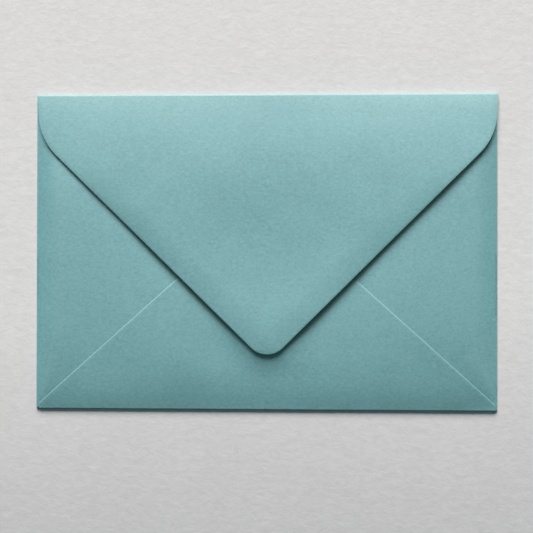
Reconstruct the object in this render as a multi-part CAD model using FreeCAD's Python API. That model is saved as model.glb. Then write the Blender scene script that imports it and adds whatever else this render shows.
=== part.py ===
"""Paper envelope: one die-cut sheet, folded and glued, lying on its front panel with the flap side up.

Millimetres. +X runs along the long side, +Y points to the top flap's fold, and +Z is up. The origin is
the centre of the front panel's outer face, which lies on z = 0.
"""

import FreeCAD
import Part
import math
import os

Vector = FreeCAD.Vector

# Body
body_width = 176.0
body_height = 120.0
paper_thickness = 0.2
pocket_gap = 0.6
pillow_rise = 2.0
glue_bite = 0.02

# Top flap
flap_length = 99.4
flap_shoulder_drop = 15.8
flap_shoulder_radius = 27.0
flap_tip_radius = 8.4
flap_overhang = 0.4
flap_clearance = 0.2
flap_lift = 1.0

# Bottom flap, glued over the side flaps
bottom_flap_height = 75.0
bottom_flap_tip_radius = 15.0
bottom_flap_ear = 2.1
bottom_flap_ear_radius = 0.8
bottom_flap_inset = 1.0

# Side flaps, between the front panel and the bottom flap
side_flap_depth = 68.0
side_flap_tip_height = 53.0
side_flap_tip_radius = 8.0
corner_relief = 0.4

# Each fold's outer diameter comes from the layers that it goes round
side_fold = pocket_gap + 2 * paper_thickness
bottom_fold = side_fold + paper_thickness - glue_bite
top_fold = bottom_fold + flap_clearance + paper_thickness

# Where the folds end and the panels begin
side_edge = (body_width - side_fold) / 2
bottom_edge = (bottom_fold - body_height) / 2
top_edge = (body_height - top_fold) / 2

# The cutters that give the flaps their outlines stand proud of the sheet on every side
past_sheet = 5.0
cutter_height = top_fold + pillow_rise + flap_lift + 2 * past_sheet


def rounded_outline(corners):
    """A closed face in the XY plane. Each corner is (x, y, radius), and a radius of 0 stays sharp."""
    edges = []
    ends = []
    count = len(corners)
    for index, (x, y, radius) in enumerate(corners):
        here = Vector(x, y, 0)
        before = Vector(*corners[index - 1][:2], 0) - here
        after = Vector(*corners[(index + 1) % count][:2], 0) - here
        if radius == 0:
            ends.append((here, here))
            continue
        half_angle = before.getAngle(after) / 2
        tangent_length = radius / math.tan(half_angle)
        start = here + before.normalize() * tangent_length
        end = here + after.normalize() * tangent_length
        inward = (before + after).normalize()
        middle = here + inward * (radius / math.sin(half_angle) - radius)
        edges.append(Part.Arc(start, middle, end).toShape())
        ends.append((start, end))
    for index in range(count):
        leave = ends[index][1]
        arrive = ends[(index + 1) % count][0]
        edges.append(Part.LineSegment(leave, arrive).toShape())
    return Part.Face(Part.Wire(Part.__sortEdges__(edges)))


def slope_to_tip(corner_x, corner_y, centre_x, centre_y, radius, side):
    """The slope of a flap's straight edge, from its corner to the circle of its rounded tip.

    A side of 1 has the edge pass above the circle, and a side of -1 below it.
    """
    run = centre_x - corner_x
    rise = centre_y - corner_y
    spread = math.asin(radius / math.hypot(run, rise))
    return math.tan(math.atan2(rise, run) + side * spread)


def quadratic_ordinates(function, start, end):
    """The three Bezier ordinates of a quadratic function over start to end."""
    middle = 2 * function((start + end) / 2) - (function(start) + function(end)) / 2
    return [function(start), middle, function(end)]


def pillow_layer(underside, half_width, lift=0.0):
    """One paper thickness over the bulge of the envelope's back.

    Its underside is at the given height along the folds and rises by pillow_rise at the centre. With a
    lift it also rises from the top fold towards the flap's tip, fast at first and then levelling out.
    """
    def lift_at(y):
        share = (top_edge - y) / flap_length
        return lift * share * (2 - share)

    across = (-half_width, 0.0, half_width)
    along = (bottom_edge, (bottom_edge + top_edge) / 2, top_edge)
    lifts = quadratic_ordinates(lift_at, bottom_edge, top_edge)
    surface = Part.BezierSurface()
    surface.increase(2, 2)
    for i, x in enumerate(across):
        for j, y in enumerate(along):
            # The middle pole has a quarter of the weight at the centre of the surface
            bulge = 4 * pillow_rise if (i, j) == (1, 1) else 0.0
            surface.setPole(i + 1, j + 1, Vector(x, y, underside + lifts[j] + bulge))
    return surface.toShape().extrude(Vector(0, 0, paper_thickness))


def cut_to_outline(layer, corners):
    """The part of a layer inside an upright cutter with the given outline."""
    cutter = rounded_outline(corners)
    cutter.translate(Vector(0, 0, -past_sheet))
    return layer.common(cutter.extrude(Vector(0, 0, cutter_height)))


def half_round_fold(diameter, length):
    """A half tube of paper along +Y from the origin, open towards +X, standing on z = 0."""
    outer = diameter / 2
    inner = outer - paper_thickness
    low_outer = Vector(0, 0, 0)
    high_outer = Vector(0, 0, diameter)
    low_inner = Vector(0, 0, paper_thickness)
    high_inner = Vector(0, 0, diameter - paper_thickness)
    section = Part.Wire([
        Part.Arc(low_outer, Vector(-outer, 0, outer), high_outer).toShape(),
        Part.LineSegment(high_outer, high_inner).toShape(),
        Part.Arc(high_inner, Vector(-inner, 0, outer), low_inner).toShape(),
        Part.LineSegment(low_inner, low_outer).toShape(),
    ])
    return Part.Face(section).extrude(Vector(0, length, 0))


def front_panel():
    """The flat face that the envelope lies on, between the four folds."""
    width = 2 * side_edge
    height = top_edge - bottom_edge
    return Part.makeBox(width, height, paper_thickness, Vector(-side_edge, bottom_edge, 0))


def left_side_flap():
    """The left fold and the pointed flap that it turns in over the front panel."""
    low = bottom_edge + corner_relief
    high = top_edge - corner_relief
    centre_x = side_flap_depth - side_flap_tip_radius - body_width / 2
    centre_y = side_flap_tip_height - body_height / 2
    lower_slope = slope_to_tip(-side_edge, low, centre_x, centre_y, side_flap_tip_radius, -1)
    upper_slope = slope_to_tip(-side_edge, high, centre_x, centre_y, side_flap_tip_radius, 1)
    sharp_depth = (high - low) / (lower_slope - upper_slope)
    corners = [
        (-side_edge - past_sheet, low, 0),
        (-side_edge, low, 0),
        (-side_edge + sharp_depth, low + sharp_depth * lower_slope, side_flap_tip_radius),
        (-side_edge, high, 0),
        (-side_edge - past_sheet, high, 0),
    ]
    underside = side_fold - paper_thickness
    flap = cut_to_outline(pillow_layer(underside, side_edge), corners)
    fold = half_round_fold(side_fold, high - low)
    fold.translate(Vector(-side_edge, low, 0))
    return flap.fuse(fold)


def bottom_flap():
    """The bottom fold and the flap that it turns up over the side flaps."""
    half_width = body_width / 2 - bottom_flap_inset
    ear_top = bottom_flap_ear - body_height / 2
    centre_y = bottom_flap_height - bottom_flap_tip_radius - body_height / 2
    slope = slope_to_tip(-half_width, ear_top, 0.0, centre_y, bottom_flap_tip_radius, 1)
    corners = [
        (-half_width, bottom_edge - past_sheet, 0),
        (half_width, bottom_edge - past_sheet, 0),
        (half_width, ear_top, bottom_flap_ear_radius),
        (0.0, ear_top + half_width * slope, bottom_flap_tip_radius),
        (-half_width, ear_top, bottom_flap_ear_radius),
    ]
    underside = bottom_fold - paper_thickness
    flap = cut_to_outline(pillow_layer(underside, side_edge), corners)
    fold = half_round_fold(bottom_fold, 2 * half_width)
    fold.rotate(Vector(0, 0, 0), Vector(0, 0, 1), 90)
    fold.translate(Vector(half_width, bottom_edge, 0))
    return flap.fuse(fold)


def top_flap():
    """The top fold and the pointed flap that closes the envelope."""
    half_width = body_width / 2 + flap_overhang
    shoulder = body_height / 2 - flap_shoulder_drop
    centre_y = body_height / 2 - flap_length + flap_tip_radius
    slope = slope_to_tip(-half_width, shoulder, 0.0, centre_y, flap_tip_radius, -1)
    corners = [
        (half_width, top_edge + past_sheet, 0),
        (-half_width, top_edge + past_sheet, 0),
        (-half_width, shoulder, flap_shoulder_radius),
        (0.0, shoulder + half_width * slope, flap_tip_radius),
        (half_width, shoulder, flap_shoulder_radius),
    ]
    underside = top_fold - paper_thickness
    flap = cut_to_outline(pillow_layer(underside, half_width + past_sheet, flap_lift), corners)
    fold = half_round_fold(top_fold, 2 * half_width)
    fold.rotate(Vector(0, 0, 0), Vector(0, 0, 1), -90)
    fold.translate(Vector(-half_width, top_edge, 0))
    return flap.fuse(fold)


def envelope_sheet():
    """The whole folded sheet as one solid, with the glued seams merged."""
    left = left_side_flap()
    right = left.mirror(Vector(0, 0, 0), Vector(1, 0, 0))
    return front_panel().fuse([left, right, bottom_flap(), top_flap()]).removeSplitter()


os.makedirs("parts", exist_ok=True)
envelope_sheet().exportStep("parts/envelope_sheet.step")
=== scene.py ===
"""A paper envelope lying flap side up on a sheet of pale art paper, seen from almost straight above.

The envelope is one die-cut sheet. It is modelled the way the blank is folded: a front panel, and on each of
its four sides a fold and a flap, all in one mesh that has the paper's thickness and its cut edges. Lengths
are in metres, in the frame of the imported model: +X runs along the long side, +Y points to the top flap's
fold, and +Z is up.
"""

import logging
import math
from collections.abc import Callable
from dataclasses import dataclass, replace
from enum import Enum
from functools import cache

import bpy
import numpy as np
from mathutils import Matrix, Vector


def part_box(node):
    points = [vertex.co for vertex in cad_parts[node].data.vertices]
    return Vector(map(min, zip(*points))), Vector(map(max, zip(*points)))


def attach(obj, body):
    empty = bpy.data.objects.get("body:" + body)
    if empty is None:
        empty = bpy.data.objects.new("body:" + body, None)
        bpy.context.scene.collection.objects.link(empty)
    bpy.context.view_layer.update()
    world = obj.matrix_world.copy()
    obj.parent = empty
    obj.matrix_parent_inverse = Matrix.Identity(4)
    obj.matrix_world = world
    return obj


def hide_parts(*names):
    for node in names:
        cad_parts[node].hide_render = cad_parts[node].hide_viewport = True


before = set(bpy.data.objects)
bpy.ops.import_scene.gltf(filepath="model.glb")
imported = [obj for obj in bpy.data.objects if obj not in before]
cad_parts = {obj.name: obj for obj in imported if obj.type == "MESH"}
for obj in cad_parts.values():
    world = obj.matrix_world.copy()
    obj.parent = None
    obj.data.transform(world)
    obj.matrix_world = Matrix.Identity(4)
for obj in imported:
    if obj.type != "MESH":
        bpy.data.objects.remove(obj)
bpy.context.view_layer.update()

MM = 0.001
NODE = "envelope_sheet"
BODY = "root"

# The photograph's frame is square, in pixels, and the camera's sensor has a usual width in millimetres
PHOTO_SIDE = 533
SENSOR_WIDTH = 36.0

# Distances from a cut edge of the rows of faces that round it over, and how many of them take the cut edge's
# lighter colour, partly the paper's pale core and partly a painted highlight
EDGE_ROWS = (0.0, 0.08 * MM, 0.22 * MM, 0.42 * MM)
CUT_AND_HIGHLIGHT_ROWS = 2
# A distance that stands for far from any edge
FAR_FROM_EDGE = 1.0
# The depth of a flap's first row of faces beside its fold, where the fold's rounding ends
FOLD_ROW = 0.3 * MM

# How far in from a fold its dye is rubbed lighter and a highlight is painted, how steeply that falls off, and
# how much of it follows the grain
FOLD_WEAR_AND_HIGHLIGHT_WIDTH = 0.9 * MM
FOLD_WEAR_AND_HIGHLIGHT_STEEPNESS = 2.0
FOLD_WEAR_AND_HIGHLIGHT_WITH_GRAIN = 1.2
FOLD_WEAR_AND_HIGHLIGHT_ANYWHERE = 0.4
# How much of the grain's height and of its tone the fibres make up, where the pits make up the rest
FIBRES_IN_HEIGHT = 0.45
FIBRES_IN_TONE = 0.65
# The tone that neither darkens nor lightens
MIDDLE_TONE = 0.5
# How the paper's sheen fades when it is looked along: the bend of the viewing angle, the rise and its start
GLANCE_BLEND = 0.5
GLANCE_GAIN = 5.0
GLANCE_START = 0.3

log = logging.getLogger("envelope")

Colour = tuple[float, float, float]
Socket = bpy.types.NodeSocket
Value = Socket | float | tuple[float, ...]
# Gives the height of a flap's middle from x, y, the distance from the fold and that from the cut edge
HeightAt = Callable[[np.ndarray, np.ndarray, np.ndarray, np.ndarray], np.ndarray]


class Face(Enum):
    """The three kinds of paper surface, with the index of each one's material."""

    OUTSIDE = 0
    INSIDE = 1
    # The cut edges: lighter, partly the paper's pale core and partly a painted highlight
    CUT = 2


class FoldSide(Enum):
    """A side of the front panel: the direction along its fold, and the direction into its flap."""

    TOP = ((1.0, 0.0), (0.0, -1.0))
    BOTTOM = ((1.0, 0.0), (0.0, 1.0))
    LEFT = ((0.0, 1.0), (1.0, 0.0))
    RIGHT = ((0.0, 1.0), (-1.0, 0.0))

    @property
    def along(self) -> np.ndarray:
        """The direction along the fold."""
        return np.array(self.value[0])

    @property
    def inward(self) -> np.ndarray:
        """The direction from the fold into the flap."""
        return np.array(self.value[1])


@dataclass(frozen=True)
class EnvelopeSizes:
    """The folded sheet's driving sizes: its solid's own, and last how its folds and corners are pressed."""

    width: float
    height: float
    paper: float = 0.2 * MM
    pocket_gap: float = 0.6 * MM
    glue_bite: float = 0.02 * MM
    flap_length: float = 99.4 * MM
    flap_tip_radius: float = 8.4 * MM
    flap_overhang: float = 0.4 * MM
    flap_clearance: float = 0.2 * MM
    bottom_flap_height: float = 75.0 * MM
    bottom_flap_tip_radius: float = 15.0 * MM
    bottom_flap_ear: float = 2.1 * MM
    bottom_flap_ear_radius: float = 0.8 * MM
    bottom_flap_inset: float = 1.0 * MM
    side_flap_depth: float = 68.0 * MM
    side_flap_tip_height: float = 53.0 * MM
    side_flap_tip_radius: float = 8.0 * MM
    corner_relief: float = -0.25 * MM
    fold_slack: float = 0.35 * MM
    fold_flatness: float = 0.35

    @classmethod
    def from_box(cls, low: Vector, high: Vector) -> "EnvelopeSizes":
        """Takes the body's width and height from the solid's box.

        Args:
            low: The lowest corner of the solid.
            high: The highest corner of the solid.

        Returns:
            The sizes, with the body's width free of the top flap's overhang, and its height with the slack
            that the top and bottom folds take up.
        """
        return cls(width=high.x - low.x - 2 * cls.flap_overhang, height=high.y - low.y + cls.fold_slack)

    @property
    def side_fold(self) -> float:
        """The outer diameter of the side folds."""
        return self.pocket_gap + 2 * self.paper

    @property
    def bottom_fold(self) -> float:
        """The outer diameter of the bottom fold, which goes round the side flaps too."""
        return self.side_fold + self.paper - self.glue_bite

    @property
    def top_fold(self) -> float:
        """The outer diameter of the top fold, which goes round all the other layers."""
        return self.bottom_fold + self.flap_clearance + self.paper

    @property
    def side_edge(self) -> float:
        """The distance from the middle to the line where a side fold begins."""
        return self.width / 2 - self.fold_reach(self.side_fold)

    @property
    def bottom_edge(self) -> float:
        """The y of the line where the bottom fold begins."""
        return self.fold_reach(self.bottom_fold) - self.height / 2

    @property
    def top_edge(self) -> float:
        """The y of the line where the top fold begins."""
        return self.height / 2 - self.fold_reach(self.top_fold)

    def fold_reach(self, diameter: float) -> float:
        """How far a fold, pressed flatter than round, stands out beyond the line where it begins."""
        return (diameter - self.paper) / 2 * self.fold_flatness + self.paper / 2


def put_in_scene(name: str, data: bpy.types.ID) -> bpy.types.Object:
    """Makes an object and puts it in the scene.

    Args:
        name: Its name.
        data: Its mesh, light or camera.

    Returns:
        The object.
    """
    thing = bpy.data.objects.new(name, data)
    bpy.context.scene.collection.objects.link(thing)
    return thing


def unit(vector: np.ndarray) -> np.ndarray:
    """The vector at length one."""
    return vector / np.linalg.norm(vector)


def smooth_step(share: np.ndarray) -> np.ndarray:
    """A step that eases from nought to one as the share does."""
    share = np.clip(share, 0.0, 1.0)
    return share * share * (3 - 2 * share)


@dataclass(frozen=True)
class Corner:
    """A corner of a flap's outline: its place along the fold, its distance from it, and its rounding."""

    along: float
    away: float
    radius: float = 0.0

    @property
    def point(self) -> np.ndarray:
        """The sharp corner, as (along, away)."""
        return np.array([self.along, self.away])


def slope_to_tip(corner: Corner, centre: tuple[float, float], radius: float) -> float:
    """The slope of a flap's straight edge, from a corner to where it touches the circle of the rounded tip.

    Args:
        corner: Where the edge starts.
        centre: The centre of the tip's circle.
        radius: The radius of that circle.

    Returns:
        How far the edge goes from the fold for each unit that it goes along it.
    """
    run = abs(centre[0] - corner.along)
    rise = centre[1] - corner.away
    spread = math.asin(radius / math.hypot(run, rise))
    return math.tan(math.atan2(rise, run) + spread)


def tip_between(first: Corner, last: Corner, centre: tuple[float, float], radius: float) -> Corner:
    """The corner where a flap's two straight edges would meet if its tip weren't rounded.

    Args:
        first: Where the first edge starts, on the low side of the tip.
        last: Where the other edge starts, on the high side.
        centre: The centre of the tip's circle.
        radius: The radius of that circle.

    Returns:
        The corner, with its rounding.
    """
    rising = slope_to_tip(first, centre, radius)
    falling = slope_to_tip(last, centre, radius)
    along = (last.away - first.away + first.along * rising + last.along * falling) / (rising + falling)
    return Corner(along, first.away + (along - first.along) * rising, radius)


@dataclass(frozen=True)
class Trace:
    """Points on a stretch of outline, with the direction into the paper at each."""

    points: np.ndarray
    inward: np.ndarray

    def inset(self, distance: float) -> np.ndarray:
        """The same stretch, moved into the paper by a distance."""
        return self.points + distance * self.inward

    def reversed(self) -> "Trace":
        """The same stretch, run the other way."""
        return Trace(self.points[::-1], self.inward[::-1])

    @staticmethod
    def joined(traces: list["Trace"]) -> "Trace":
        """Several stretches as one.

        Args:
            traces: The stretches, where each starts at the last one's end.

        Returns:
            The whole stretch.
        """
        points = [traces[0].points] + [trace.points[1:] for trace in traces[1:]]
        inward = [traces[0].inward] + [trace.inward[1:] for trace in traces[1:]]
        return Trace(np.vstack(points), np.vstack(inward))


def straight(start: np.ndarray, end: np.ndarray, steps: int) -> Trace:
    """A straight stretch of outline, with the paper on its right-hand side.

    Args:
        start: Its first point.
        end: Its last point.
        steps: How many equal steps it has.

    Returns:
        The stretch.
    """
    share = np.linspace(0.0, 1.0, steps + 1)[:, None]
    direction = unit(end - start)
    inward = np.array([direction[1], -direction[0]])
    return Trace(start + share * (end - start), np.tile(inward, (steps + 1, 1)))


@dataclass(frozen=True)
class Rounding:
    """The arc that takes the place of a corner."""

    start: np.ndarray
    end: np.ndarray
    centre: np.ndarray

    @classmethod
    def of(cls, before: np.ndarray, corner: Corner, after: np.ndarray) -> "Rounding":
        """Fits the arc to the two lines that meet at a corner.

        Args:
            before: The corner before it.
            corner: The corner that is rounded.
            after: The corner after it.

        Returns:
            The arc.
        """
        back = unit(before - corner.point)
        on = unit(after - corner.point)
        half_angle = math.acos(float(back @ on)) / 2
        reach = corner.radius / math.tan(half_angle)
        centre = corner.point + unit(back + on) * corner.radius / math.sin(half_angle)
        return cls(corner.point + back * reach, corner.point + on * reach, centre)

    def trace(self, steps: int) -> Trace:
        """The arc as a stretch of outline.

        Args:
            steps: How many equal steps it has.

        Returns:
            The stretch.
        """
        first = self.start - self.centre
        last = self.end - self.centre
        turn = math.atan2(first[0] * last[1] - first[1] * last[0], float(first @ last))
        angles = math.atan2(first[1], first[0]) + np.linspace(0.0, turn, steps + 1)
        outward = np.column_stack([np.cos(angles), np.sin(angles)])
        return Trace(self.centre + outward * np.linalg.norm(first), -outward)


class FlapOutline:
    """The free edge of a flap, from one end of its fold round the tip to the other end."""

    def __init__(self, corners: list[Corner], side_steps: tuple[int, ...], tip_steps: int) -> None:
        """Rounds the corners and traces the two sides and the tip.

        Args:
            corners: The corners in order, with the tip in the middle and the fold's ends first and last.
            side_steps: The steps on each line and arc of a side, from the fold to the tip.
            tip_steps: The steps on the tip's arc.
        """
        points = [corner.point for corner in corners]
        inner = range(1, len(corners) - 1)
        arcs = [Rounding.of(points[i - 1], corners[i], points[i + 1]) for i in inner]
        tip = len(arcs) // 2
        self.tip = arcs[tip].trace(tip_steps)
        self.start_side = self._side(points[0], arcs[: tip + 1], side_steps)
        mirrored = [Rounding(arc.end, arc.start, arc.centre) for arc in reversed(arcs[tip:])]
        self.end_side = self._side(points[-1], mirrored, side_steps, flip=True)

    @staticmethod
    def _side(
        fold_end: np.ndarray, arcs: list[Rounding], steps: tuple[int, ...], flip: bool = False
    ) -> Trace:
        """Traces a side from the fold to where the tip's arc begins.

        Args:
            fold_end: The end of the fold.
            arcs: The roundings on the side, and last the tip's.
            steps: The steps on each line and arc in turn.
            flip: Whether the paper is on the left-hand side.

        Returns:
            The side. At the fold its inward direction runs along the fold, so that insets stay on it.
        """
        here = fold_end + FOLD_ROW * unit(arcs[0].start - fold_end)
        first = straight(fold_end, here, 1)
        stretches = [Trace(first.points, -first.inward if flip else first.inward)]
        for index, arc in enumerate(arcs):
            line = straight(here, arc.start, steps[2 * index])
            stretches.append(Trace(line.points, -line.inward if flip else line.inward))
            if index < len(arcs) - 1:
                stretches.append(arc.trace(steps[2 * index + 1]))
            here = arc.end
        side = Trace.joined(stretches)
        inward = side.inward.copy()
        inward[0] = (1 / inward[0][0], 0.0)
        return Trace(side.points, inward)

    def loop(self, inset: float) -> np.ndarray:
        """The whole free edge, moved into the paper by a distance."""
        return Trace.joined([self.start_side, self.tip, self.end_side.reversed()]).inset(inset)

    def fold_stations(self, columns: int) -> np.ndarray:
        """Places along the fold that line up with the rows of the cut edges and the flap's columns.

        Args:
            columns: How many columns of faces the flap has between its rounded edges.

        Returns:
            The places, in order.
        """
        starts = [self.start_side.inset(row)[0][0] for row in EDGE_ROWS]
        ends = [self.end_side.inset(row)[0][0] for row in EDGE_ROWS]
        middle = np.linspace(starts[-1], ends[-1], columns + 1)
        return np.concatenate([starts[:-1], middle, ends[:-1][::-1]])

    def inner_grid(self, columns: int) -> np.ndarray:
        """A grid of points over the flap inside its rounded edges, from the fold to the tip.

        Args:
            columns: How many columns of faces it has.

        Returns:
            An array of rows, columns and (along, away).
        """
        inset = EDGE_ROWS[-1]
        left = self.start_side.inset(inset)
        right = self.end_side.inset(inset)
        tip = self.tip.inset(inset)
        sideways = np.linspace(0.0, 1.0, columns + 1)[None, :, None]
        lengths = np.linalg.norm(np.diff(left, axis=0), axis=1)
        onward = (np.concatenate([[0.0], np.cumsum(lengths)]) / lengths.sum())[:, None, None]
        straight_across = (1 - sideways) * left[:, None] + sideways * right[:, None]
        bend = tip[None] - straight_across[-1:]
        return straight_across + onward * bend


class SheetSurface:
    """The middle surface of the folded sheet, gathered panel by panel."""

    def __init__(self) -> None:
        """Starts with no points and no faces."""
        self._points: list[np.ndarray] = []
        self._insets: list[np.ndarray] = []
        self._quads: list[np.ndarray] = []
        self._rows: list[np.ndarray] = []
        self._count = 0

    def add_points(self, points: np.ndarray, insets: np.ndarray) -> np.ndarray:
        """Adds points to the sheet.

        Args:
            points: An array whose last axis is (x, y, z).
            insets: The distance of each point from a cut edge, in the shape of the other axes.

        Returns:
            The indices of the points, in the same shape as insets.
        """
        total = int(np.prod(points.shape[:-1]))
        indices = np.arange(self._count, self._count + total).reshape(points.shape[:-1])
        self._points.append(points.reshape(-1, 3))
        self._insets.append(np.asarray(insets, float).reshape(-1))
        self._count += total
        return indices

    def add_quads(self, grid: np.ndarray, flip: bool, edge_row: int = len(EDGE_ROWS)) -> None:
        """Covers a grid of point indices with faces.

        Args:
            grid: The indices in rows and columns.
            flip: Whether to turn the faces over, so that they look out of the sheet's outside.
            edge_row: Which row from the cut edge the faces are in, counted from nought.
        """
        corners = [grid[:-1, :-1], grid[:-1, 1:], grid[1:, 1:], grid[1:, :-1]]
        quads = np.stack([corner.ravel() for corner in corners], axis=1)
        self._quads.append(quads[:, ::-1] if flip else quads)
        self._rows.append(np.full(len(quads), edge_row))

    @property
    def points(self) -> np.ndarray:
        """All points."""
        return np.vstack(self._points)

    @property
    def insets(self) -> np.ndarray:
        """Each point's distance from a cut edge."""
        return np.concatenate(self._insets)

    @property
    def quads(self) -> np.ndarray:
        """All faces, as four point indices each."""
        return np.vstack(self._quads)

    @property
    def edge_rows(self) -> np.ndarray:
        """Which row from the cut edge each face is in."""
        return np.concatenate(self._rows)

    def normals(self) -> np.ndarray:
        """Works out which way the sheet's outside faces.

        Returns:
            The direction out of it at each point.
        """
        points = self.points
        quads = self.quads
        diagonals = points[quads[:, 2]] - points[quads[:, 0]], points[quads[:, 3]] - points[quads[:, 1]]
        facing = np.cross(*diagonals)
        normals = np.zeros_like(points)
        for corner in range(4):
            np.add.at(normals, quads[:, corner], facing)
        return normals / np.linalg.norm(normals, axis=1, keepdims=True)

    def cut_edges(self) -> np.ndarray:
        """Finds the edges that only one face uses.

        Returns:
            Two point indices for each, in the order in which its face runs through them.
        """
        quads = self.quads
        edges = np.vstack([quads[:, [i, (i + 1) % 4]] for i in range(4)])
        keys = np.sort(edges, axis=1)
        _, first, counts = np.unique(keys, axis=0, return_index=True, return_counts=True)
        return edges[first[counts == 1]]


@dataclass(frozen=True)
class Swell:
    """A smooth round rise in the paper, or a dent where its height is less than nought."""

    x: float
    y: float
    height: float
    reach_x: float
    reach_y: float

    @classmethod
    def in_mm(cls, x: float, y: float, height: float, reach_x: float, reach_y: float) -> "Swell":
        """A swell whose place, height and reach along X and along Y are given in millimetres."""
        return cls(x * MM, y * MM, height * MM, reach_x * MM, reach_y * MM)

    def height_at(self, x: np.ndarray, y: np.ndarray) -> np.ndarray:
        """Its height at places seen from above."""
        far = ((x - self.x) / self.reach_x) ** 2 + ((y - self.y) / self.reach_y) ** 2
        return self.height * np.exp(-far)


@dataclass(frozen=True)
class Ripple:
    """A train of slight waves in the paper.

    It is told by how many run along X and along Y in one ripple length, by where they start, and by their
    share of the ripples' height.
    """

    along_x: float
    along_y: float
    start: float
    share: float


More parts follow.
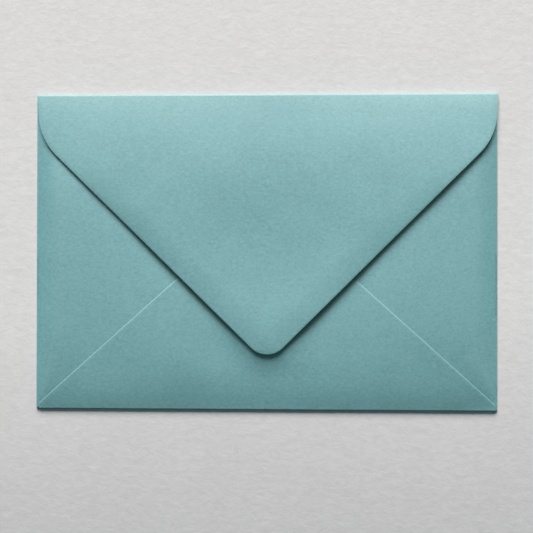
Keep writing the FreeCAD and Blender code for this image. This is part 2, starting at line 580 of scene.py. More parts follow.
@dataclass(frozen=True)
class BackRelief:
    """The heights of the envelope's back: the bulge of the pocket, and how the top flap stands off it."""

    sizes: EnvelopeSizes
    # The pocket's even rise, how far from each fold it is reached, and how squarely it meets the corners
    rise: float = 0.35 * MM
    bottom_reach: float = 20.5 * MM
    side_reach: float = 9.0 * MM
    top_reach: float = 36.0 * MM
    corner_sharpness: float = 6.0
    # The faint ripples all over the paper
    ripple_height: float = 0.02 * MM
    ripple_length: float = 47.0 * MM
    ripples: tuple[Ripple, ...] = (
        Ripple(along_x=1.0, along_y=0.35, start=0.8, share=1.0),
        Ripple(along_x=-0.45, along_y=1.3, start=2.1, share=0.8),
        Ripple(along_x=1.26, along_y=1.68, start=4.0, share=0.6),
    )
    # How high the top flap springs up from its fold, how much more out at its sides, and at its right
    crest: float = 3.3 * MM
    crest_reach: float = 57.0 * MM
    wing_crest: float = 1.2 * MM
    wing_start: float = 0.65
    twist: float = 0.48 * MM
    # How much further it lifts from there to its tip
    tip_lift: float = 0.56 * MM
    lift_start: float = 53.0 * MM
    # How its edges curl down: less at its right, not yet near the fold, and less again towards the tip
    curl: float = 1.2 * MM
    curl_twist: float = 0.45 * MM
    curl_width: float = 9.8 * MM
    curl_ramp: float = 95.0 * MM
    tip_start: float = 45.0 * MM
    tip_easing: float = 0.62
    # How far from the fold the top flap's unevenness is whole
    start_width: float = 9.0 * MM
    pocket_swells: tuple[Swell, ...] = (
        # The broad rise over each side flap, and the hollow between the two
        Swell.in_mm(-79.0, -23.0, 3.35, 78.0, 58.0),
        Swell.in_mm(71.0, -14.5, 2.2, 56.0, 64.0),
        Swell.in_mm(-16.0, 6.0, -1.65, 58.0, 48.0),
        # The rise under the top flap's tip, and the dip to its left
        Swell.in_mm(-1.5, -31.5, 2.65, 12.0, 11.5),
        Swell.in_mm(-9.0, -36.0, -1.0, 12.0, 10.0),
        # How the middle rolls over into the bottom fold
        Swell.in_mm(17.5, -62.0, 1.0, 59.0, 9.0),
        Swell.in_mm(3.5, -67.0, -1.8, 55.0, 8.5),
        # The dents over the two seams, and the broad one beside the left seam
        Swell.in_mm(-60.0, -44.5, -0.4, 20.0, 8.0),
        Swell.in_mm(67.5, -44.5, -0.3, 21.0, 9.0),
        Swell.in_mm(-70.0, -33.5, -1.5, 22.0, 27.5),
        # The pinched bottom corners, and the left side's slight swell halfway up
        Swell.in_mm(-60.0, -53.5, -0.25, 31.0, 7.5),
        Swell.in_mm(86.0, -68.0, -2.7, 12.0, 7.5),
        Swell.in_mm(-78.0, 23.5, 0.55, 12.0, 18.5),
    )
    flap_swells: tuple[Swell, ...] = (
        # The hollows across the flap: in its middle, and on each side of it
        Swell.in_mm(-5.0, 4.5, -1.0, 26.5, 21.5),
        Swell.in_mm(-54.0, 16.0, -1.1, 20.5, 24.5),
        Swell.in_mm(48.0, 11.0, -1.1, 34.5, 30.5),
        # The small one towards the tip, and one inside each shoulder
        Swell.in_mm(2.5, -14.5, -0.25, 16.0, 9.0),
        Swell.in_mm(-81.0, 40.0, -0.45, 13.0, 11.0),
        Swell.in_mm(81.5, 40.0, -0.35, 12.0, 12.5),
    )

    def bulge(self, x: np.ndarray, y: np.ndarray) -> np.ndarray:
        """The height of the pocket's back above its folds.

        Args:
            x: Places along the long side.
            y: Places along the short side.

        Returns:
            The heights, nought at the folds and uneven further in.
        """
        sizes = self.sizes
        insides = (
            (sizes.side_edge - np.abs(x), self.side_reach),
            (y - sizes.bottom_edge, self.bottom_reach),
            (sizes.top_edge - y, self.top_reach),
        )
        falls = [(1 - np.clip(inside / reach, 0.0, 1.0)) ** 2 for inside, reach in insides]
        total = sum(fall**self.corner_sharpness for fall in falls)
        share = 1 - np.minimum(total ** (1 / self.corner_sharpness), 1.0)
        uneven = self.waves(x, y) + sum(swell.height_at(x, y) for swell in self.pocket_swells)
        return (self.rise + uneven) * share

    def waves(self, x: np.ndarray, y: np.ndarray) -> np.ndarray:
        """The slight unevenness of handled paper.

        Args:
            x: Places along the long side.
            y: Places along the short side.

        Returns:
            The heights, about nought.
        """
        pace = 2 * math.pi / self.ripple_length
        return self.ripple_height * sum(
            ripple.share * np.sin(pace * (ripple.along_x * x + ripple.along_y * y) + ripple.start)
            for ripple in self.ripples
        )

    def flap_rise(self, x: np.ndarray, y: np.ndarray, away: np.ndarray, inset: np.ndarray) -> np.ndarray:
        """The height of the top flap above its fold.

        Args:
            x: Places along the long side.
            y: Places along the short side.
            away: Distances from the top fold.
            inset: Distances from the flap's cut edge.

        Returns:
            The heights. The flap springs up from the fold, higher at the right, and its edges curl down.
        """
        to_right = x / self.sizes.side_edge
        wing = smooth_step(np.abs(to_right) / self.wing_start)
        crest = self.crest + self.wing_crest * wing + self.twist * to_right
        spring = crest * (1 - (1 - np.clip(away / self.crest_reach, 0.0, 1.0)) ** 2)
        length = self.sizes.flap_length
        lift = self.tip_lift * smooth_step((away - self.lift_start) / (length - self.lift_start))
        at_edge = (1 - np.clip(inset / self.curl_width, 0.0, 1.0)) ** 2
        curl = (self.curl - self.curl_twist * to_right) * at_edge * smooth_step(away / self.curl_ramp)
        curl = curl * (1 - self.tip_easing * smooth_step((away - self.tip_start) / (length - self.tip_start)))
        uneven = self.waves(x, y) + sum(swell.height_at(x, y) for swell in self.flap_swells)
        return spring + lift - curl + uneven * smooth_step(away / self.start_width)


@dataclass(frozen=True)
class Flap:
    """A flap and the fold that joins it to the front panel."""

    side: FoldSide
    fold_line: float
    fold_diameter: float
    outline: FlapOutline
    columns: int
    fold_steps: int = 12

    def flat(self, along: np.ndarray, away: np.ndarray) -> np.ndarray:
        """Where points of the flap lie, seen from above.

        Args:
            along: Their places along the fold.
            away: Their distances from the fold, less than nought beyond it.

        Returns:
            An array whose last axis is (x, y).
        """
        inward = self.side.inward
        distance = np.asarray(away)[..., None] - self.fold_line
        return np.asarray(along)[..., None] * self.side.along + distance * inward

    def add_fold(
        self, surface: SheetSurface, panel_row: np.ndarray, paper: float, flatness: float
    ) -> np.ndarray:
        """Carries the sheet round the fold.

        Args:
            surface: The sheet so far.
            panel_row: The indices of the points at the front panel's edge.
            paper: The paper's thickness.
            flatness: How far the fold stands out, as a share of a half-round one.

        Returns:
            The indices of the points where the flap begins.
        """
        radius = (self.fold_diameter - paper) / 2
        stations = self.outline.fold_stations(self.columns)
        panel = surface.points[panel_row][:, :2] @ self.side.along
        turns = np.linspace(0.0, 1.0, self.fold_steps + 1)[1:, None]
        along = panel + turns * (stations - panel)
        away = -radius * flatness * np.sin(math.pi * turns) + np.zeros_like(along)
        height = self.fold_diameter / 2 - radius * np.cos(math.pi * turns) + np.zeros_like(along)
        points = np.concatenate([self.flat(along, away), height[..., None]], axis=-1)
        end_rows = np.array(EDGE_ROWS[:-1])
        middle = np.full(self.columns + 1, FAR_FROM_EDGE)
        insets = np.concatenate([end_rows, middle, end_rows[::-1]])
        indices = surface.add_points(points, np.tile(insets, (self.fold_steps, 1)))
        rows = np.vstack([panel_row, indices])
        surface.add_quads(rows, flip=self._turned_over())
        return rows[-1]

    def add_flap(self, surface: SheetSurface, fold_row: np.ndarray, height_at: HeightAt) -> None:
        """Covers the flap with faces, out to its cut edge.

        Args:
            surface: The sheet so far.
            fold_row: The indices of the points where the flap begins.
            height_at: Gives the height of the flap's middle.
        """
        grid = self.outline.inner_grid(self.columns)[1:]
        depth = EDGE_ROWS[-1] + self._depth_inside(grid)
        inner = self._add(surface, grid, depth, np.full(depth.shape, FAR_FROM_EDGE), height_at)
        margin = len(EDGE_ROWS) - 1
        inner = np.vstack([fold_row[margin:-margin], inner])
        surface.add_quads(inner, flip=self._turned_over())
        last = np.concatenate([inner[:, 0], inner[-1, 1:-1], inner[::-1, -1]])
        for step in range(1, len(EDGE_ROWS)):
            inset = EDGE_ROWS[-1 - step]
            loop = self.outline.loop(inset)[1:-1]
            distance = np.full(len(loop), inset)
            indices = self._add(surface, loop, distance, distance, height_at)
            ends = fold_row[margin - step], fold_row[-1 - margin + step]
            ring = np.concatenate([[ends[0]], indices, [ends[1]]])
            surface.add_quads(np.vstack([last, ring]), self._turned_over(), margin - step)
            last = ring

    def _add(
        self,
        surface: SheetSurface,
        local: np.ndarray,
        depth: np.ndarray,
        inset: np.ndarray,
        height_at: HeightAt,
    ) -> np.ndarray:
        """Puts points of the flap at their heights and adds them.

        Args:
            surface: The sheet so far.
            local: The points, as (along, away).
            depth: Their distances from the cut edge.
            inset: The same, or far for points that the edge's rounding doesn't reach.
            height_at: Gives the height of the flap's middle.

        Returns:
            Their indices.
        """
        flat = self.flat(local[..., 0], local[..., 1])
        height = height_at(flat[..., 0], flat[..., 1], local[..., 1], depth)
        return surface.add_points(np.concatenate([flat, height[..., None]], axis=-1), inset)

    def _depth_inside(self, grid: np.ndarray) -> np.ndarray:
        """How far points of the flap are inside the start of its rounded edge.

        Args:
            grid: The points, as (along, away).

        Returns:
            Their distances from the nearest stretch of it.
        """
        loop = self.outline.loop(EDGE_ROWS[-1])
        starts, ends = loop[:-1], loop[1:]
        along = ends - starts
        points = grid.reshape(-1, 1, 2)
        share = ((points - starts) * along).sum(-1) / (along**2).sum(-1)
        nearest = starts + np.clip(share, 0.0, 1.0)[..., None] * along
        return np.linalg.norm(points - nearest, axis=-1).min(1).reshape(grid.shape[:-1])

    def _turned_over(self) -> bool:
        """Whether rows that run from the fold to the tip need their faces turned over."""
        along, inward = self.side.along, self.side.inward
        return bool(along[0] * inward[1] - along[1] * inward[0] < 0)


@dataclass(frozen=True)
class NoiseShape:
    """How a noise looks: its finer octaves, their strength, and how much its shapes are pulled about."""

    detail: float
    roughness: float
    distortion: float = 0.0


PITS = NoiseShape(detail=3.0, roughness=0.62)
FIBRES = NoiseShape(detail=4.0, roughness=0.65, distortion=0.9)
CLOUDS = NoiseShape(detail=3.0, roughness=0.5, distortion=0.4)


class NodeTree:
    """Short ways to add and link the nodes of a material or a group."""

    def __init__(self, tree: bpy.types.NodeTree) -> None:
        """Takes the tree that the nodes go in."""
        self.tree = tree

    def clear(self) -> None:
        """Removes all nodes."""
        self.tree.nodes.clear()

    def add(self, kind: str) -> bpy.types.Node:
        """Adds a node of a kind."""
        return self.tree.nodes.new(kind)

    def link(self, source: Value, target: Socket) -> None:
        """Feeds a socket.

        Args:
            source: Another socket, or a plain value to set it to.
            target: The socket.
        """
        if isinstance(source, Socket):
            self.tree.links.new(source, target)
        else:
            target.default_value = source

    def math(self, operation: str, *values: Value, clamp: bool = False) -> Socket:
        """Adds a math node.

        Args:
            operation: Its operation.
            values: Its inputs, as sockets or numbers.
            clamp: Whether the result is kept between nought and one.

        Returns:
            Its result.
        """
        node = self.add("ShaderNodeMath")
        node.operation = operation
        node.use_clamp = clamp
        for index, value in enumerate(values):
            self.link(value, node.inputs[index])
        return node.outputs[0]

    def spread(self, tone: Socket, contrast: float) -> Socket:
        """A tone about the middle one, as a change about nought, times a contrast."""
        return self.math("MULTIPLY", self.math("SUBTRACT", tone, MIDDLE_TONE), contrast)

    def blend(self, first: Socket, second: Socket, share: float) -> Socket:
        """Two tones in one, with a share of the first and the rest of the second."""
        return self.math("MULTIPLY_ADD", first, share, self.math("MULTIPLY", second, 1 - share))

    def scaled(self, vector: Value, factors: Value) -> Socket:
        """Multiplies a vector by another, part by part.

        Args:
            vector: The vector.
            factors: What each of its parts is multiplied by.

        Returns:
            The product.
        """
        node = self.add("ShaderNodeVectorMath")
        node.operation = "MULTIPLY"
        self.link(vector, node.inputs[0])
        self.link(factors, node.inputs[1])
        return node.outputs[0]

    def noise(self, vector: Socket, shape: NoiseShape) -> Socket:
        """Adds a noise with cells about one unit wide.

        Args:
            vector: Where it is read.
            shape: How it looks.

        Returns:
            The noise, between nought and one.
        """
        node = self.add("ShaderNodeTexNoise")
        self.link(vector, node.inputs["Vector"])
        self.link(1.0, node.inputs["Scale"])
        self.link(shape.detail, node.inputs["Detail"])
        self.link(shape.roughness, node.inputs["Roughness"])
        self.link(shape.distortion, node.inputs["Distortion"])
        return node.outputs[0]

    def mix(self, factor: Socket, low: Colour | Socket, high: Colour) -> Socket:
        """Adds a colour between two.

        Args:
            factor: How much of the second colour shows.
            low: The first colour, or a socket that it comes from.
            high: The second colour.

        Returns:
            The colour.
        """
        node = self.add("ShaderNodeMix")
        node.data_type = "RGBA"
        colours = [socket for socket in node.inputs if socket.type == "RGBA"]
        self.link(factor, node.inputs["Factor"])
        self.link(low if isinstance(low, Socket) else (*low, 1.0), colours[0])
        self.link((*high, 1.0), colours[1])
        return next(socket for socket in node.outputs if socket.type == "RGBA")

    def group(self, group: bpy.types.NodeTree, values: dict[str, Value]) -> dict[str, Socket]:
        """Places a node group.

        Args:
            group: The group.
            values: Its inputs by name, as sockets or numbers.

        Returns:
            Its outputs by name.
        """
        node = self.add("ShaderNodeGroup")
        node.node_tree = group
        for name, value in values.items():
            self.link(value, node.inputs[name])
        return {socket.name: socket for socket in node.outputs}


class GroupDraft:
    """A shader node group while it is being made."""

    def __init__(self, name: str, inputs: dict[str, str], outputs: list[str]) -> None:
        """Makes the group with its sockets.

        Args:
            name: The group's name.
            inputs: The kind of each input socket by name.
            outputs: The names of the outputs, which are all plain values.
        """
        self.tree = bpy.data.node_groups.new(name, "ShaderNodeTree")
        for socket, kind in inputs.items():
            self.tree.interface.new_socket(socket, in_out="INPUT", socket_type=kind)
        for socket in outputs:
            self.tree.interface.new_socket(socket, in_out="OUTPUT", socket_type="NodeSocketFloat")
        self.nodes = NodeTree(self.tree)
        self.inputs = self.nodes.add("NodeGroupInput").outputs
        self.outputs = self.nodes.add("NodeGroupOutput").inputs

    def per_size(self) -> Socket:
        """The group's vector, measured in its size input."""
        count = self.nodes.math("DIVIDE", 1.0, self.inputs["Size"])
        return self.nodes.scaled(self.inputs["Vector"], count)


@cache
def grain_group() -> bpy.types.NodeTree:
    """The felt-like grain of paper: fine pits, and fibres that lie more along X than across it.

    Returns:
        The group. It is made the first time, and it puts out a height and a tone about a half.
    """
    kinds = {"Vector": "NodeSocketVector", "Size": "NodeSocketFloat", "Fibre Stretch": "NodeSocketFloat"}
    draft = GroupDraft("Paper Grain", kinds, ["Height", "Tone"])
    nodes = draft.nodes
    place = draft.per_size()
    pits = nodes.noise(place, PITS)
    thinning = nodes.add("ShaderNodeCombineXYZ")
    nodes.link(nodes.math("DIVIDE", 1.0, draft.inputs["Fibre Stretch"]), thinning.inputs["X"])
    nodes.link(1.0, thinning.inputs["Y"])
    nodes.link(1.0, thinning.inputs["Z"])
    fibres = nodes.noise(nodes.scaled(place, thinning.outputs["Vector"]), FIBRES)
    nodes.link(nodes.blend(fibres, pits, FIBRES_IN_HEIGHT), draft.outputs["Height"])
    nodes.link(nodes.blend(fibres, pits, FIBRES_IN_TONE), draft.outputs["Tone"])
    return draft.tree


@cache
def mottle_group() -> bpy.types.NodeTree:
    """The cloudy unevenness of dye and sizing in paper.

    Returns:
        The group. It is made the first time, and it puts out a tone about a half.
    """
    kinds = {"Vector": "NodeSocketVector", "Size": "NodeSocketFloat"}
    draft = GroupDraft("Paper Mottle", kinds, ["Tone"])
    draft.nodes.link(draft.nodes.noise(draft.per_size(), CLOUDS), draft.outputs["Tone"])
    return draft.tree


@cache
def wear_and_highlight_group() -> bpy.types.NodeTree:
    """The rubbed dye and the painted highlight along the outer folds of the sheet.

    Returns:
        The group. It is made the first time, and its mask is one at the folds and nought a little way in.
    """
    numbers = {key: "NodeSocketFloat" for key in ("Half Width", "Half Height", "Width", "Tone")}
    draft = GroupDraft("Fold Wear And Painted Highlight", {"Vector": "NodeSocketVector", **numbers}, ["Mask"])
    nodes = draft.nodes
    parts = nodes.add("ShaderNodeSeparateXYZ")
    nodes.link(draft.inputs["Vector"], parts.inputs["Vector"])
    bands = []
    for axis, half in (("X", "Half Width"), ("Y", "Half Height")):
        beyond = nodes.math("SUBTRACT", nodes.math("ABSOLUTE", parts.outputs[axis]), draft.inputs[half])
        share = nodes.math("ADD", nodes.math("DIVIDE", beyond, draft.inputs["Width"]), 1.0, clamp=True)
        bands.append(nodes.math("POWER", share, FOLD_WEAR_AND_HIGHLIGHT_STEEPNESS))
    rub_and_highlight = nodes.math("MULTIPLY_ADD", draft.inputs["Tone"], FOLD_WEAR_AND_HIGHLIGHT_WITH_GRAIN, FOLD_WEAR_AND_HIGHLIGHT_ANYWHERE)
    mask = nodes.math("MULTIPLY", nodes.math("MAXIMUM", *bands), rub_and_highlight, clamp=True)
    nodes.link(mask, draft.outputs["Mask"])
    return draft.tree


@dataclass(frozen=True)
class PaperFinish:
    """A paper surface: its dye, its grain and its gloss."""

    name: str
    shade: Colour
    light: Colour
    roughness: float
    roughness_spread: float
    specular: float
    grain_size: float
    grain_contrast: float
    mottle_size: float
    mottle_contrast: float
    bump_depth: float
    coat: float = 0.0
    coat_roughness: float = 0.4
    coat_ior: float = 1.5
    fibre_stretch: float = 1.6
    # How strongly the folds are lightened, and to what colour: partly rubbed dye, partly a painted highlight
    wear_and_highlight: float = 0.0
    worn_and_highlit: Colour = (0.5, 0.5, 0.5)

    def material(self, folds: tuple[float, float] = (FAR_FROM_EDGE, FAR_FROM_EDGE)) -> bpy.types.Material:
        """Builds the material from the shared grain, mottle and wear groups.

        Args:
            folds: How far the folds, lightened by rubbed dye and a painted highlight, lie from the middle,
                along X and along Y.

        Returns:
            The material.
        """
        material = bpy.data.materials.new(self.name)
        material.use_nodes = True
        tree = NodeTree(material.node_tree)
        tree.clear()
        place = tree.add("ShaderNodeTexCoord").outputs["Object"]
        grain = tree.group(grain_group(), {
            "Vector": place, "Size": self.grain_size, "Fibre Stretch": self.fibre_stretch,
        })
        shader = tree.add("ShaderNodeBsdfPrincipled")
        tree.link(self._dye(tree, place, grain["Tone"], folds), shader.inputs["Base Color"])
        self._set_gloss(tree, shader, grain["Tone"])
        bump = tree.add("ShaderNodeBump")
        tree.link(1.0, bump.inputs["Strength"])
        tree.link(self.bump_depth, bump.inputs["Distance"])
        tree.link(grain["Height"], bump.inputs["Height"])
        tree.link(bump.outputs["Normal"], shader.inputs["Normal"])
        output = tree.add("ShaderNodeOutputMaterial")
        tree.link(shader.outputs["BSDF"], output.inputs["Surface"])
        return material

    def _dye(self, tree: NodeTree, place: Socket, grain: Socket, folds: tuple[float, float]) -> Socket:
        """Mixes the paper's colour from its two shades, and lightens it at the folds with rubbed dye and a
        painted highlight.

        Args:
            tree: The material's nodes.
            place: Where on the paper it is read.
            grain: The grain's tone.
            folds: How far the folds, lightened by rubbed dye and a painted highlight, lie from the middle,
                along X and along Y.

        Returns:
            The colour.
        """
        mottle = tree.group(mottle_group(), {"Vector": place, "Size": self.mottle_size})
        fine = tree.spread(grain, self.grain_contrast)
        broad = tree.spread(mottle["Tone"], self.mottle_contrast)
        tone = tree.math("ADD", tree.math("ADD", fine, broad), MIDDLE_TONE, clamp=True)
        dye = tree.mix(tone, self.shade, self.light)
        if not self.wear_and_highlight:
            return dye
        # Lightens the folds: partly rubbed dye, partly a painted highlight
        worn_and_highlit = tree.group(wear_and_highlight_group(), {
            "Vector": place, "Half Width": folds[0], "Half Height": folds[1], "Width": FOLD_WEAR_AND_HIGHLIGHT_WIDTH,
            "Tone": grain,
        })
        return tree.mix(tree.math("MULTIPLY", worn_and_highlit["Mask"], self.wear_and_highlight), dye, self.worn_and_highlit)

    def _set_gloss(self, tree: NodeTree, shader: bpy.types.Node, grain: Socket) -> None:
        """Sets how the paper shines: unevenly with its grain, and less where it is looked along.

        Args:
            tree: The material's nodes.
            shader: The paper's shader.
            grain: The grain's tone.
        """
        rough = tree.math("ADD", tree.spread(grain, self.roughness_spread), self.roughness)
        facing = tree.add("ShaderNodeLayerWeight")
        tree.link(GLANCE_BLEND, facing.inputs["Blend"])
        glance = tree.math("MULTIPLY_ADD", facing.outputs["Facing"], GLANCE_GAIN, -GLANCE_START, clamp=True)
        matt = tree.math("MULTIPLY_ADD", glance, tree.math("SUBTRACT", 1.0, rough), rough)
        tree.link(matt, shader.inputs["Roughness"])
        tree.link(self.specular, shader.inputs["Specular IOR Level"])
        if self.coat:
            weight = tree.math("MULTIPLY", tree.math("SUBTRACT", 1.0, glance), self.coat)
            tree.link(weight, shader.inputs["Coat Weight"])
            tree.link(self.coat_ior, shader.inputs["Coat IOR"])
            tree.link(self.coat_roughness, shader.inputs["Coat Roughness"])


OUTSIDE_PAPER = PaperFinish(
    name="satin_teal_paper",
    shade=(0.123, 0.295, 0.310),
    light=(0.184, 0.405, 0.424),
    roughness=0.62,
    roughness_spread=0.25,
    specular=0.35,
    grain_size=0.85 * MM,
    grain_contrast=3.2,
    mottle_size=16.0 * MM,
    mottle_contrast=0.5,
    bump_depth=0.055 * MM,
    coat=1.0,
    coat_roughness=0.45,
    coat_ior=1.8,
    # The folds are lightened, partly rubbed dye and partly a painted highlight
    wear_and_highlight=0.75,
    worn_and_highlit=(0.225, 0.405, 0.412),
)
INSIDE_PAPER = PaperFinish(
    name="plain_teal_paper",
    shade=(0.115, 0.296, 0.310),
    light=(0.172, 0.400, 0.418),
    roughness=0.78,
    roughness_spread=0.2,
    specular=0.35,
    grain_size=1.3 * MM,
    grain_contrast=1.5,
    mottle_size=14.0 * MM,
    mottle_contrast=0.6,
    bump_depth=0.03 * MM,
)
# The cut edges' lighter, whiter colour: partly the paper's pale core, partly a painted highlight along the
# seams
CUT_AND_HIGHLIGHT_PAPER = PaperFinish(
    name="cut_teal_paper_and_painted_highlight",
    shade=(0.175, 0.362, 0.374),
    light=(0.262, 0.488, 0.500),
    roughness=0.7,
    roughness_spread=0.2,
    specular=0.5,
    grain_size=0.5 * MM,
    grain_contrast=1.4,
    mottle_size=9.0 * MM,
    mottle_contrast=0.4,
    bump_depth=0.01 * MM,
)
FLOOR_PAPER = PaperFinish(
    name="pale_art_paper",
    shade=(0.564, 0.558, 0.554),
    light=(0.688, 0.681, 0.678),
    roughness=0.85,
    roughness_spread=0.15,
    specular=0.25,
    grain_size=2.4 * MM,
    grain_contrast=1.7,
    mottle_size=30.0 * MM,
    mottle_contrast=0.3,
    bump_depth=0.13 * MM,
    fibre_stretch=2.0,
)
FLAG_CARD = PaperFinish(
    name="dark_card",
    shade=(0.012, 0.012, 0.012),
    light=(0.016, 0.016, 0.016),
    roughness=0.9,
    roughness_spread=0.1,
    specular=0.2,
    grain_size=2.0 * MM,
    grain_contrast=1.0,
    mottle_size=30.0 * MM,
    mottle_contrast=0.5,
    bump_depth=0.02 * MM,
)


@dataclass(frozen=True)
class Envelope:
    """The folded and glued sheet of paper."""

    sizes: EnvelopeSizes
    relief: BackRelief
    # The top flap is folded down slightly askew: its tip lies to the right of the middle
    flap_tip_right: float = 0.85 * MM
    flap_tip_up: float = 0.3 * MM
    # Its shoulders, by their places along the fold and their distances from the envelope's top
    left_shoulder: Corner = Corner(-86.2 * MM, 17.4 * MM, 23.5 * MM)
    right_shoulder: Corner = Corner(86.9 * MM, 17.05 * MM, 23.0 * MM)
    # Where its sides leave the fold
    flap_fold_left: float = -87.85 * MM
    flap_fold_right: float = 88.4 * MM
    # How far the bottom flap is glued off its place
    bottom_flap_right: float = 0.2 * MM
    bottom_flap_up: float = 0.12 * MM
    # The faces along X and along Y, inside the rounded edges
    columns: int = 88
    rows: int = 60
    # The faces on each line and arc of a flap's side, from the fold to the tip
    side_flap_steps: tuple[int, ...] = (56,)
    bottom_flap_steps: tuple[int, ...] = (2, 5, 52)
    top_flap_steps: tuple[int, ...] = (4, 14, 58)
    # How far the outside and the inside are pressed in at a cut edge, as shares of the paper's thickness
    edge_crush: float = 0.55
    inner_crush: float = 0.12
    # How many degrees an edge turns before it looks sharp
    sharp_angle: float = 50.0

    def build(self) -> bpy.types.Object:
        """Builds the sheet, dresses it and ties it to the frame.

        Returns:
            The sheet's object.
        """
        surface = SheetSurface()
        panel = self._add_front_panel(surface)
        flaps = [
            (self.side_flap(FoldSide.LEFT), panel[:, 0], self._side_height),
            (self.side_flap(FoldSide.RIGHT), panel[:, -1], self._side_height),
            (self.bottom_flap(), panel[0, :], self._bottom_height),
            (self.top_flap(), panel[-1, :], self._top_height),
        ]
        for flap, edge, height_at in flaps:
            start = flap.add_fold(surface, edge, self.sizes.paper, self.sizes.fold_flatness)
            flap.add_flap(surface, start, height_at)
            log.info("%s flap folded on", flap.side.name.lower())
        sheet = self._solid(surface)
        folds = self.sizes.width / 2, self.sizes.height / 2
        finishes = {Face.OUTSIDE: OUTSIDE_PAPER, Face.INSIDE: INSIDE_PAPER, Face.CUT: CUT_AND_HIGHLIGHT_PAPER}
        for face in Face:
            sheet.data.materials.append(finishes[face].material(folds))
        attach(sheet, BODY)
        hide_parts(NODE)
        log.info("folded sheet: %d faces", len(sheet.data.polygons))
        return sheet

    def side_flap(self, side: FoldSide) -> Flap:
        """Draws a side flap, which lies between the front panel and the bottom flap.

        Args:
            side: Which of the two it is. They mirror each other.

        Returns:
            The flap. Its two straight edges meet at a rounded tip.
        """
        sizes = self.sizes
        low = Corner(sizes.bottom_edge + sizes.corner_relief, 0.0)
        high = Corner(sizes.top_edge - sizes.corner_relief, 0.0)
        depth = sizes.side_flap_depth - (sizes.width / 2 - sizes.side_edge)
        centre = (sizes.side_flap_tip_height - sizes.height / 2, depth - sizes.side_flap_tip_radius)
        tip = tip_between(low, high, centre, sizes.side_flap_tip_radius)
        outline = FlapOutline([low, tip, high], self.side_flap_steps, self.rows)
        return Flap(side, sizes.side_edge, sizes.side_fold, outline, self.rows)

    def bottom_flap(self) -> Flap:
        """Draws the bottom flap, which is glued over the side flaps.

        Returns:
            The flap.
        """
        sizes = self.sizes
        half_width = sizes.width / 2 - sizes.bottom_flap_inset
        fold_depth = sizes.bottom_edge + sizes.height / 2 - self.bottom_flap_up
        ear = sizes.bottom_flap_ear - fold_depth
        shift = self.bottom_flap_right
        left = Corner(shift - half_width, ear, sizes.bottom_flap_ear_radius)
        right = Corner(shift + half_width, ear, sizes.bottom_flap_ear_radius)
        centre = (shift, sizes.bottom_flap_height - fold_depth - sizes.bottom_flap_tip_radius)
        tip = tip_between(left, right, centre, sizes.bottom_flap_tip_radius)
        corners = [Corner(left.along, 0.0), left, tip, right, Corner(right.along, 0.0)]
        outline = FlapOutline(corners, self.bottom_flap_steps, self.columns)
        return Flap(FoldSide.BOTTOM, -sizes.bottom_edge, sizes.bottom_fold, outline, self.columns)

    def top_flap(self) -> Flap:
        """Draws the pointed flap that closes the envelope.

        Returns:
            The flap.
        """
        sizes = self.sizes
        fold_depth = sizes.height / 2 - sizes.top_edge
        left = replace(self.left_shoulder, away=self.left_shoulder.away - fold_depth)
        right = replace(self.right_shoulder, away=self.right_shoulder.away - fold_depth)
        length = sizes.flap_length - self.flap_tip_up - fold_depth
        centre = (self.flap_tip_right, length - sizes.flap_tip_radius)
        tip = tip_between(left, right, centre, sizes.flap_tip_radius)
        corners = [Corner(self.flap_fold_left, 0.0), left, tip, right, Corner(self.flap_fold_right, 0.0)]
        outline = FlapOutline(corners, self.top_flap_steps, self.columns)
        return Flap(FoldSide.TOP, sizes.top_edge, sizes.top_fold, outline, self.columns)

    def _add_front_panel(self, surface: SheetSurface) -> np.ndarray:
        """Adds the flat panel that the envelope lies on.

        Args:
            surface: The sheet, still empty.

        Returns:
            The indices of the panel's points, in rows from the bottom and columns from the left.
        """
        sizes = self.sizes
        x = self._stations(-sizes.side_edge, sizes.side_edge, self.columns)
        y = self._stations(sizes.bottom_edge, sizes.top_edge, self.rows)
        grid_x, grid_y = np.meshgrid(x, y)
        points = np.stack([grid_x, grid_y, np.full_like(grid_x, sizes.paper / 2)], axis=-1)
        panel = surface.add_points(points, np.full(grid_x.shape, FAR_FROM_EDGE))
        surface.add_quads(panel, flip=True)
        return panel

    @staticmethod
    def _stations(start: float, end: float, steps: int) -> np.ndarray:
        """Places the columns or rows of the front panel in line with those of the flaps.

        Args:
            start: Where they start.
            end: Where they end.
            steps: How many equal steps there are between the narrow ones at each end.

        Returns:
            The places, in order.
        """
        rows = np.array(EDGE_ROWS[:-1])
        middle = np.linspace(start + EDGE_ROWS[-1], end - EDGE_ROWS[-1], steps + 1)
        return np.concatenate([start + rows, middle, (end - rows)[::-1]])

    def _side_height(self, x: np.ndarray, y: np.ndarray, away: np.ndarray, inset: np.ndarray) -> np.ndarray:
        """The height of the middle of a side flap's paper."""
        return self.sizes.side_fold - self.sizes.paper / 2 + self.relief.bulge(x, y)

    def _bottom_height(self, x: np.ndarray, y: np.ndarray, away: np.ndarray, inset: np.ndarray) -> np.ndarray:
        """The height of the middle of the bottom flap's paper."""
        return self.sizes.bottom_fold - self.sizes.paper / 2 + self.relief.bulge(x, y)

    def _top_height(self, x: np.ndarray, y: np.ndarray, away: np.ndarray, inset: np.ndarray) -> np.ndarray:
        """The height of the middle of the top flap's paper."""
        return self.sizes.top_fold - self.sizes.paper / 2 + self.relief.flap_rise(x, y, away, inset)

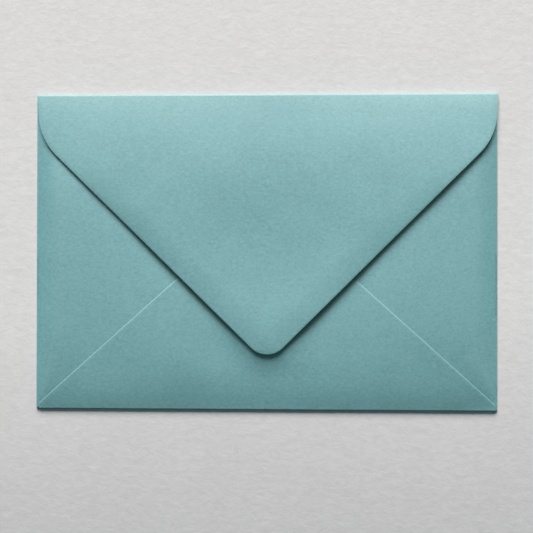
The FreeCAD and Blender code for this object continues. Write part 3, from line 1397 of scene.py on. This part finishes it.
    def _solid(self, surface: SheetSurface) -> bpy.types.Object:
        """Gives the middle surface the paper's thickness and closes it along the cut edges.

        Args:
            surface: The whole sheet.

        Returns:
            The sheet's object, with no materials yet.
        """
        points, normals, quads = surface.points, surface.normals(), surface.quads
        nearness = np.clip(1 - surface.insets / EDGE_ROWS[-1], 0.0, 1.0)[:, None] ** 2
        half = self.sizes.paper / 2
        outer = points + normals * (half - self.sizes.paper * self.edge_crush * nearness)
        inner = points - normals * (half - self.sizes.paper * self.inner_crush * nearness)
        count = len(points)
        edges = surface.cut_edges()
        rim = np.stack([edges[:, 1], edges[:, 0], edges[:, 0] + count, edges[:, 1] + count], axis=1)
        faces = np.vstack([quads, quads[:, ::-1] + count, rim])
        mesh = bpy.data.meshes.new("folded_sheet")
        mesh.from_pydata(np.vstack([outer, inner]).tolist(), [], faces.tolist())
        # The outside rows nearest a cut edge take its lighter colour, which paints a highlight along it
        crushed_and_highlit = surface.edge_rows < CUT_AND_HIGHLIGHT_ROWS
        kinds = np.concatenate([
            np.where(crushed_and_highlit, Face.CUT.value, Face.OUTSIDE.value),
            np.full(len(quads), Face.INSIDE.value),
            np.full(len(rim), Face.CUT.value),
        ])
        mesh.polygons.foreach_set("material_index", kinds.astype(np.int32))
        mesh.polygons.foreach_set("use_smooth", np.ones(len(faces), bool))
        mesh.set_sharp_from_angle(angle=math.radians(self.sharp_angle))
        mesh.update()
        return put_in_scene("folded_sheet", mesh)


def flat_card(name: str, width: float, near: float, far: float, finish: PaperFinish) -> bpy.types.Object:
    """Makes a flat rectangle of paper that looks up.

    Args:
        name: Its name.
        width: Its size along X, with its middle at nought.
        near: The y of its near edge.
        far: The y of its far edge.
        finish: Its paper.

    Returns:
        The rectangle's object.
    """
    half = width / 2
    corners = [(-half, near, 0.0), (half, near, 0.0), (half, far, 0.0), (-half, far, 0.0)]
    mesh = bpy.data.meshes.new(name)
    mesh.from_pydata(corners, [], [(0, 1, 2, 3)])
    mesh.materials.append(finish.material())
    return put_in_scene(name, mesh)


@dataclass(frozen=True)
class Floor:
    """The flat sheet of pale art paper that the envelope lies on."""

    side: float = 4.0

    def build(self) -> bpy.types.Object:
        """Builds the floor at the height of the envelope's front face.

        Returns:
            The floor's object.
        """
        floor = flat_card("floor", self.side, -self.side / 2, self.side / 2, FLOOR_PAPER)
        log.info("floor laid")
        return floor


@dataclass(frozen=True)
class Lamp:
    """A broad flat light that faces the middle of the scene from beyond the top fold.

    Its elevation and its turn to the left are in degrees, its sizes and its distance in metres.
    """

    name: str
    elevation: float
    width: float
    height: float
    power: float
    colour: Colour
    distance: float = 4.5
    turn: float = 3.0

    def build(self) -> bpy.types.Object:
        """Adds the lamp.

        Returns:
            The lamp's object.
        """
        up, turn = math.radians(self.elevation), math.radians(self.turn)
        towards = Vector((-math.sin(turn) * math.cos(up), math.cos(turn) * math.cos(up), math.sin(up)))
        light = bpy.data.lights.new(self.name, "AREA")
        light.shape = "RECTANGLE"
        light.size = self.width
        light.size_y = self.height
        light.energy = self.power
        light.color = self.colour
        lamp = put_in_scene(self.name, light)
        facing = towards.to_track_quat("Z", "Y").to_matrix().to_4x4()
        lamp.matrix_world = Matrix.Translation(towards * self.distance) @ facing
        return lamp


@dataclass(frozen=True)
class Studio:
    """The soft light: a low window, a dim sky above it, a flag before them, and a pale room.

    The flag is a dark card that hides the window's top from the near side of the scene, so that the light
    falls off there. The camera doesn't see it. Its place and sizes are in metres, and its slope and its roll
    are in degrees.
    """

    window: Lamp = Lamp(
        name="window", elevation=30.0, width=2.7, height=2.41, power=441.0, colour=(1.0, 0.954, 0.944)
    )
    sky: Lamp = Lamp(
        name="sky", elevation=67.5, width=2.7, height=2.0, power=13.0, colour=(0.68, 0.94, 1.0)
    )
    flag_place: tuple[float, float, float] = (0.0, 0.395, 0.415)
    flag_width: float = 1.6
    flag_height: float = 0.09
    flag_slope: float = 135.0
    flag_roll: float = 1.5
    room_colour: Colour = (0.50, 0.95, 1.0)
    room_strength: float = 0.09
    backdrop: Colour = (0.42, 0.42, 0.42)

    def build(self) -> None:
        """Adds the lamps, the flag and the room's light."""
        self.window.build()
        self.sky.build()
        self._hang_flag()
        self._light_room()
        log.info("lamps and room lit")

    def _hang_flag(self) -> None:
        """Hangs the dark card that hides the window's top from the near side."""
        flag = flat_card("flag", self.flag_width, 0.0, self.flag_height, FLAG_CARD)
        slope = Matrix.Rotation(math.radians(self.flag_slope), 4, "X")
        roll = Matrix.Rotation(math.radians(self.flag_roll), 4, "Y")
        flag.matrix_world = Matrix.Translation(self.flag_place) @ roll @ slope
        flag.visible_camera = False

    def _light_room(self) -> None:
        """Lights the room from all round, and shows the camera a plain pale backdrop past the floor."""
        world = bpy.data.worlds.new("room")
        world.use_nodes = True
        tree = NodeTree(world.node_tree)
        tree.clear()
        light = tree.add("ShaderNodeBackground")
        tree.link((*self.room_colour, 1.0), light.inputs["Color"])
        tree.link(self.room_strength, light.inputs["Strength"])
        backdrop = tree.add("ShaderNodeBackground")
        tree.link((*self.backdrop, 1.0), backdrop.inputs["Color"])
        seen = tree.add("ShaderNodeMixShader")
        tree.link(tree.add("ShaderNodeLightPath").outputs["Is Camera Ray"], seen.inputs["Fac"])
        tree.link(light.outputs["Background"], seen.inputs[1])
        tree.link(backdrop.outputs["Background"], seen.inputs[2])
        output = tree.add("ShaderNodeOutputWorld")
        tree.link(seen.outputs["Shader"], output.inputs["Surface"])
        bpy.context.scene.world = world


@dataclass(frozen=True)
class PhotoCamera:
    """The photograph's camera, which looks almost straight down.

    The angles turn the envelope's axes into the camera's, in degrees. The offsets are where the camera sees
    the envelope's centre, taken at the height of its outline, in metres.
    """

    focal_pixels: float = 1100.0
    turn_x: float = -0.432
    turn_y: float = -2.236
    turn_z: float = -0.102
    right: float = -0.48 * MM
    up: float = 5.57 * MM
    distance: float = 420.23 * MM
    outline_height: float = 0.8 * MM

    def build(self) -> bpy.types.Object:
        """Adds the camera and makes it the scene's.

        Returns:
            The camera's object.
        """
        turns = [
            Matrix.Rotation(math.radians(angle), 4, axis)
            for angle, axis in ((self.turn_x, "X"), (self.turn_y, "Y"), (self.turn_z, "Z"))
        ]
        to_camera = Matrix.Translation((self.right, self.up, -self.distance)) @ turns[0] @ turns[1] @ turns[2]
        data = bpy.data.cameras.new("camera")
        data.sensor_width = SENSOR_WIDTH
        data.lens = self.focal_pixels / PHOTO_SIDE * SENSOR_WIDTH
        camera = put_in_scene("camera", data)
        camera.matrix_world = Matrix.Translation((0.0, 0.0, self.outline_height)) @ to_camera.inverted()
        bpy.context.scene.camera = camera
        log.info("camera set")
        return camera


def main() -> None:
    """Builds the scene piece by piece."""
    logging.basicConfig(level=logging.INFO, format="%(message)s")
    bpy.context.scene.view_settings.view_transform = "Standard"
    PhotoCamera().build()
    Studio().build()
    Floor().build()
    sizes = EnvelopeSizes.from_box(*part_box(NODE))
    Envelope(sizes, BackRelief(sizes)).build()


if __name__ == "__main__":
    main()
